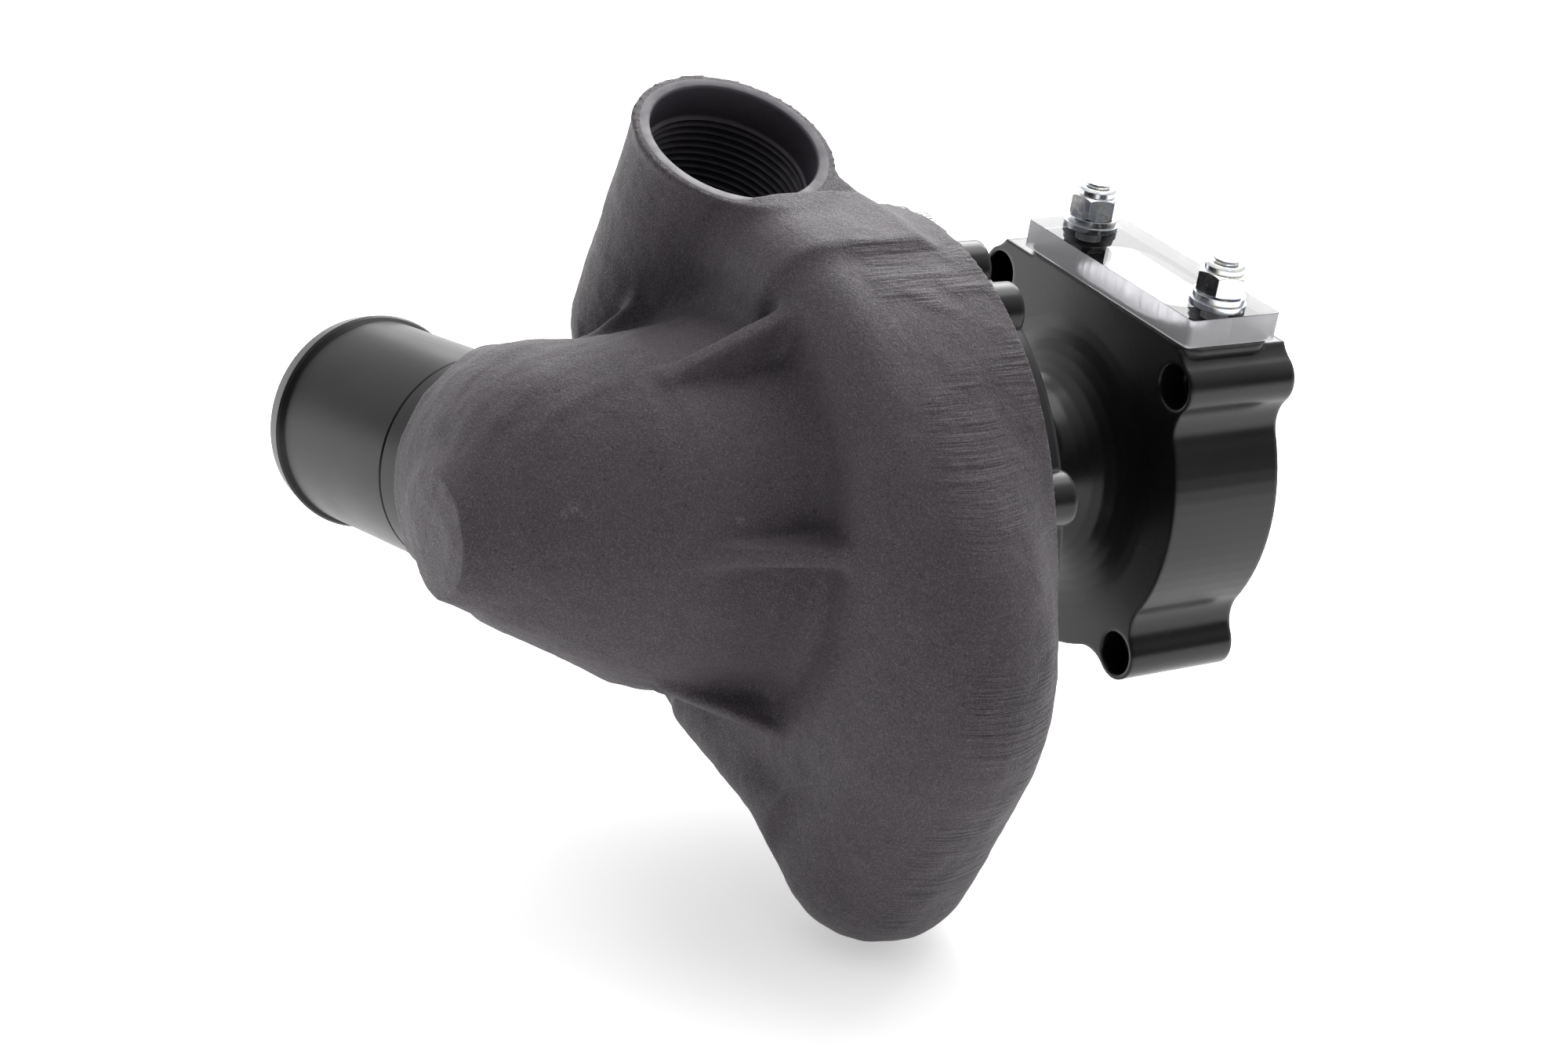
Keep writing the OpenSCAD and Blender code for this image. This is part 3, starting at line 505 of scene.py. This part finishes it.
class Nodes:
    """A new material's node tree, with short calls for what the materials here need."""

    def __init__(self, name):
        self.material = bpy.data.materials.new(name)
        self.material.use_nodes = True
        self.tree = self.material.node_tree
        self.shader = self.tree.nodes["Principled BSDF"]
        self.place = self.tree.nodes.new("ShaderNodeTexCoord").outputs["Object"]

    def link(self, source, target):
        self.tree.links.new(source, target)

    def set(self, **values):
        for name, value in values.items():
            self.shader.inputs[name.replace("_", " ")].default_value = value

    def noise(self, scale, detail=2.0, roughness=0.5, place=None):
        n = self.tree.nodes.new("ShaderNodeTexNoise")
        n.inputs["Scale"].default_value = scale
        n.inputs["Detail"].default_value = detail
        n.inputs["Roughness"].default_value = roughness
        self.link(place or self.place, n.inputs["Vector"])
        return n.outputs["Fac"]

    def ramp(self, source, low, high, from_value=0.0, to_value=1.0):
        n = self.tree.nodes.new("ShaderNodeMapRange")
        n.interpolation_type = "SMOOTHSTEP"
        limits = {"From Min": low, "From Max": high, "To Min": from_value, "To Max": to_value}
        for name, value in limits.items():
            n.inputs[name].default_value = value
        self.link(source, n.inputs["Value"])
        return n.outputs["Result"]

    def math(self, operation, a, b=0.0):
        n = self.tree.nodes.new("ShaderNodeMath")
        n.operation = operation
        for socket, value in zip(n.inputs, (a, b)):
            if isinstance(value, (int, float)):
                socket.default_value = value
            else:
                self.link(value, socket)
        return n.outputs[0]

    def distance(self, a, b):
        """Length of the two legs a and b taken together."""
        squares = self.math("ADD", self.math("MULTIPLY", a, a), self.math("MULTIPLY", b, b))
        return self.math("POWER", squares, 0.5)

    def mix(self, factor, a, b):
        n = self.tree.nodes.new("ShaderNodeMix")
        n.data_type = "RGBA"
        self.link(factor, n.inputs[0])
        for socket, value in ((n.inputs[6], a), (n.inputs[7], b)):
            if isinstance(value, tuple):
                socket.default_value = (*value, 1)
            else:
                self.link(value, socket)
        return n.outputs[2]

    def stretched(self, scale):
        n = self.tree.nodes.new("ShaderNodeMapping")
        n.inputs["Scale"].default_value = scale
        self.link(self.place, n.inputs["Vector"])
        return n.outputs["Vector"]

    def bump(self, height, strength, distance, after=None):
        n = self.tree.nodes.new("ShaderNodeBump")
        n.inputs["Strength"].default_value = strength
        n.inputs["Distance"].default_value = distance
        self.link(height, n.inputs["Height"])
        if after is not None:
            self.link(after, n.inputs["Normal"])
        return n.outputs["Normal"]

    def rounded(self, radius):
        """Normals that round every sharp edge a little."""
        n = self.tree.nodes.new("ShaderNodeBevel")
        n.samples = 6
        n.inputs["Radius"].default_value = radius
        return n.outputs["Normal"]

    def split(self, vector):
        n = self.tree.nodes.new("ShaderNodeSeparateXYZ")
        self.link(vector, n.inputs[0])
        return n.outputs["X"], n.outputs["Y"], n.outputs["Z"]

    def colour(self, source):
        self.link(source, self.shader.inputs["Base Color"])

    def roughness(self, source):
        self.link(source, self.shader.inputs["Roughness"])

    def normal(self, source):
        self.link(source, self.shader.inputs["Normal"])


def cast_material():
    """Dark sand casting: granular and speckled, with the lines of a pattern built in layers."""
    m = Nodes("cast_aluminium")
    m.set(Metallic=0.0, IOR=1.42, Sheen_Weight=0.06, Sheen_Roughness=0.4)
    grain = m.noise(2400, 3, 0.7)
    mottle = m.noise(110, 5, 0.65)
    cloud = m.noise(16, 3, 0.5)
    base = m.mix(m.ramp(cloud, 0.3, 0.7), (0.038, 0.030, 0.038), (0.050, 0.040, 0.048))
    base = m.mix(m.ramp(mottle, 0.35, 0.7, 0, 0.45), base, (0.030, 0.026, 0.031))
    base = m.mix(m.ramp(grain, 0.46, 0.70, 0, 0.7), base, (0.115, 0.101, 0.112))
    specks = m.ramp(m.noise(1500, 1, 0.4), 0.27, 0.33, 0.75, 0.0)
    base = m.mix(specks, base, (0.012, 0.011, 0.014))
    worn = m.ramp(m.noise(38, 6, 0.75), 0.66, 0.74)
    scuffs = m.math("MULTIPLY", worn, m.ramp(grain, 0.4, 0.6, 0.1, 0.6))
    base = m.mix(scuffs, base, (0.19, 0.18, 0.19))
    m.colour(base)
    m.roughness(m.ramp(grain, 0.3, 0.7, 0.68, 0.50))
    # layer lines lie level, and only show on the upright rim of the drum
    x, y, z = m.split(m.place)
    radius = m.distance(x, z)
    rim = m.math("MULTIPLY", m.ramp(radius, 0.0630, 0.0668), m.ramp(x, -0.01, 0.02))
    rim = m.math("MULTIPLY", rim, m.ramp(y, -0.118, -0.110))
    layers = m.noise(1, 3, 0.6, m.stretched((60, 30, 900)))
    rim = m.math("MULTIPLY", rim, m.ramp(m.noise(45, 2), 0.34, 0.56))
    lines = m.bump(m.math("MULTIPLY", layers, rim), 1.0, 0.0019)
    coarse = m.bump(m.noise(620, 4, 0.7), 0.7, 0.00045, lines)
    m.normal(m.bump(grain, 0.7, 0.00035, coarse))
    return m.material


def machined_material():
    """The cut face and mouth of the casting."""
    m = Nodes("cast_machined")
    m.set(Metallic=0.0, IOR=1.45)
    grain = m.noise(1600, 2, 0.5)
    m.colour(m.mix(m.ramp(grain, 0.3, 0.75, 0, 0.4), (0.050, 0.043, 0.055), (0.066, 0.058, 0.070)))
    m.roughness(m.ramp(m.noise(300, 3, 0.5), 0.3, 0.7, 0.42, 0.56))
    m.normal(m.bump(grain, 0.12, 0.0002))
    return m.material


def anodised_material(name, roughness, edge, ior=1.4):
    """Black anodised aluminium: smooth satin, with a little dust and softly broken edges."""
    m = Nodes(name)
    m.set(Metallic=0.0, IOR=ior)
    wear = m.noise(60, 4, 0.6)
    m.colour(m.mix(m.ramp(wear, 0.3, 0.75), (0.0040, 0.0040, 0.0048), (0.0065, 0.0064, 0.0074)))
    haze = m.noise(35, 3, 0.5)
    m.roughness(m.ramp(haze, 0.3, 0.7, roughness - 0.03, roughness + 0.04))
    m.normal(m.bump(m.noise(2600, 2), 0.05, 0.0001, m.rounded(edge)))
    return m.material


def zinc_material(name, thread_pitch=None, knurl_at=None):
    """Zinc plated steel, with a thread's grooves or a knurl where they are asked for."""
    m = Nodes(name)
    m.set(Metallic=1.0)
    stain = m.noise(260, 4, 0.6)
    m.colour(m.mix(m.ramp(stain, 0.35, 0.7), (0.50, 0.53, 0.58), (0.68, 0.66, 0.62)))
    m.roughness(m.ramp(stain, 0.3, 0.7, 0.16, 0.30))
    surface = m.rounded(0.00035)
    x, y, z = m.split(m.place)
    if thread_pitch:
        wave = m.math("SINE", m.math("MULTIPLY", z, 2 * math.pi / thread_pitch))
        surface = m.bump(wave, 1.0, 0.0004, surface)
    if knurl_at:
        across, up = m.math("SUBTRACT", x, knurl_at[0]), m.math("SUBTRACT", z, knurl_at[1])
        turn = m.math("ARCTAN2", up, across)
        wave = m.math("SINE", m.math("MULTIPLY", turn, 36))
        close = m.ramp(m.math("ABSOLUTE", across), 0.006, 0.007, 1, 0)
        surface = m.bump(m.math("MULTIPLY", wave, close), 1.0, 0.0004, surface)
    m.normal(m.bump(m.noise(1800, 3), 0.12, 0.0001, surface))
    return m.material


def steel_material(name, colour, roughness):
    m = Nodes(name)
    m.set(Metallic=1.0)
    tone = m.noise(180, 3)
    darker = tuple(0.85 * v for v in colour)
    m.colour(m.mix(m.ramp(tone, 0.3, 0.7), darker, colour))
    m.roughness(m.ramp(tone, 0.3, 0.7, roughness - 0.05, roughness + 0.06))
    m.normal(m.bump(m.noise(1200, 2), 0.08, 0.0001))
    return m.material


def rubber_material():
    m = Nodes("rubber")
    grain = m.noise(1400, 3)
    m.colour(m.mix(m.ramp(grain, 0.3, 0.7), (0.010, 0.010, 0.010), (0.022, 0.022, 0.022)))
    m.roughness(m.ramp(grain, 0.3, 0.7, 0.6, 0.8))
    m.normal(m.bump(grain, 0.2, 0.0002))
    return m.material


def nylon_material():
    m = Nodes("nylon")
    tone = m.noise(500, 2)
    m.colour(m.mix(m.ramp(tone, 0.3, 0.7), (0.62, 0.60, 0.54), (0.72, 0.70, 0.64)))
    m.set(Roughness=0.5, Subsurface_Weight=0.2)
    m.normal(m.bump(tone, 0.1, 0.0002))
    return m.material


def acrylic_material():
    """Clear sheet: polished faces, and sawn edges with upright streaks."""
    m = Nodes("clear_plastic")
    m.set(IOR=1.2)
    geometry = m.tree.nodes.new("ShaderNodeNewGeometry")
    facing_up = m.math("ABSOLUTE", m.split(geometry.outputs["True Normal"])[2])
    upright = m.ramp(facing_up, 0.4, 0.9, 1.0, 0.0)
    clearness = m.math("SUBTRACT", 1.0, m.math("MULTIPLY", upright, 0.55))
    m.link(clearness, m.shader.inputs["Transmission Weight"])
    m.colour(m.mix(upright, (0.84, 0.85, 0.86), (0.56, 0.555, 0.58)))
    streaks = m.noise(1, 3, 0.6, m.stretched((700, 700, 10)))
    m.roughness(m.math("MULTIPLY", upright, m.ramp(streaks, 0.3, 0.7, 0.30, 0.62)))
    m.normal(m.bump(m.math("MULTIPLY", upright, streaks), 0.35, 0.0004, m.rounded(0.0004)))
    return m.material


def paint(node_name, material):
    obj = frame["nodes"][node_name]
    obj.data.materials.clear()
    obj.data.materials.append(material)


def dress():
    """Gives every CAD node its material, by its slot in the record."""
    materials = {
        "cast_aluminium": cast_material(),
        "machined_aluminium": steel_material("machined_aluminium", (0.72, 0.73, 0.75), 0.3),
        "black_anodised": anodised_material("black_anodised", 0.27, 0.0014),
        "rubber": rubber_material(),
        "clear_plastic": acrylic_material(),
        "zinc_steel": zinc_material("zinc_steel"),
        "bright_steel": steel_material("bright_steel", (0.62, 0.62, 0.64), 0.25),
        "nylon": nylon_material(),
    }
    for part in frame["record"]["subparts"]:
        paint(part["node"], materials[part["material_slot"]])
    paint("inlet_tube", anodised_material("black_anodised_tube", 0.35, 0.0002, 1.32))
    paint("window_studs", zinc_material("zinc_thread", thread_pitch=0.0254 / 28))
    paint("back_plate_screws", zinc_material("zinc_knurled", knurl_at=TALL_SCREW))
    return materials


# ---------------------------------------------------------------------------
# Camera, light and floor
# ---------------------------------------------------------------------------

WORLD_DARK, WORLD_BRIGHT = 0.05, 1.15
# the floor's glow near the object is lower than far off: a painted shade round the object
FLOOR_GLOW_NEAR_PAINTED_SHADE, FLOOR_GLOW_FAR = 0.48, 0.95


def build_camera():
    """The view that the object is shown from: to the right of its inlet end, and above it."""
    azimuth, elevation, roll = (math.radians(v) for v in (145.89, -25.67, 8.84))
    data = bpy.data.cameras.new("camera")
    data.lens, data.sensor_width = 62.03, 36
    data.clip_start, data.clip_end = 0.01, 20
    camera = bpy.data.objects.new("camera", data)
    bpy.context.scene.collection.objects.link(camera)
    camera.location = (0.4862, -0.4413, 0.2744)
    aim = Vector((
        math.cos(azimuth) * math.cos(elevation),
        math.sin(azimuth) * math.cos(elevation),
        math.sin(elevation),
    ))
    turn = aim.to_track_quat("-Z", "Y").to_matrix() @ Matrix.Rotation(roll, 3, "Z")
    camera.rotation_euler = turn.to_euler()
    bpy.context.scene.camera = camera


def area_light(name, place, aim, size, power):
    data = bpy.data.lights.new(name, "AREA")
    data.shape = "RECTANGLE"
    data.size, data.size_y = size
    data.energy = power
    light = bpy.data.objects.new(name, data)
    bpy.context.scene.collection.objects.link(light)
    light.location = place
    light.rotation_euler = (Vector(aim) - Vector(place)).to_track_quat("-Z", "Y").to_euler()


def build_light():
    """A white studio: bright above and behind the object, darker on the side it is seen from."""
    world = bpy.data.worlds.new("studio")
    world.use_nodes = True
    nodes, links = world.node_tree.nodes, world.node_tree.links
    place = nodes.new("ShaderNodeTexCoord")
    towards = nodes.new("ShaderNodeVectorMath")
    towards.operation = "DOT_PRODUCT"
    towards.inputs[1].default_value = (-0.62, 0.42, 0.66)
    links.new(place.outputs["Generated"], towards.inputs[0])
    strength = nodes.new("ShaderNodeMapRange")
    strength.interpolation_type = "SMOOTHSTEP"
    limits = {"From Min": -0.35, "From Max": 0.75, "To Min": WORLD_DARK, "To Max": WORLD_BRIGHT}
    for name, value in limits.items():
        strength.inputs[name].default_value = value
    links.new(towards.outputs["Value"], strength.inputs["Value"])
    background = nodes["Background"]
    background.inputs["Color"].default_value = (1, 1, 1, 1)
    links.new(strength.outputs["Result"], background.inputs["Strength"])
    bpy.context.scene.world = world
    bpy.context.scene.view_settings.view_transform = "Standard"
    middle = (0, -0.1, 0)
    area_light("over_light", (-0.25, 0.35, 1.25), middle, (1.0, 1.0), 11)
    area_light("back_light", (-1.15, 0.80, 0.85), middle, (1.5, 0.9), 27)


def build_floor():
    """A white floor at the object's lowest point, which glows a little like a light table. Its
    glow is made weaker near the object, a painted shade round the object, and stronger far off.
    """
    half = 6000
    corners = [(-half, -half, 0), (half, -half, 0), (half, half, 0), (-half, half, 0)]
    floor = mesh_object("floor", corners, [(0, 1, 2, 3)], smooth=False)
    floor.location.z = cad_low[2]
    m = Nodes("floor")
    m.set(Roughness=0.9, IOR=1.2, Emission_Color=(1, 1, 1, 1))
    x, y, _ = m.split(m.place)
    away = m.distance(x, y)
    # painted shade: the floor's glow is weaker close to the object, so the floor round it reads
    # shaded
    floor_glow_and_painted_shade = m.ramp(away, 0.14, 0.60, FLOOR_GLOW_NEAR_PAINTED_SHADE, FLOOR_GLOW_FAR)
    m.link(floor_glow_and_painted_shade, m.shader.inputs["Emission Strength"])
    m.colour(m.mix(m.noise(6, 2), (0.80, 0.80, 0.80), (0.83, 0.83, 0.83)))
    floor.data.materials.append(m.material)


materials = dress()
casting = build_casting()
casting.data.materials.append(materials["cast_aluminium"])
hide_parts("volute_housing")
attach(casting, "housing")
mouth = build_outlet_mouth()
mouth.data.materials.append(machined_material())
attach(mouth, "housing")
build_camera()
build_light()
build_floor()
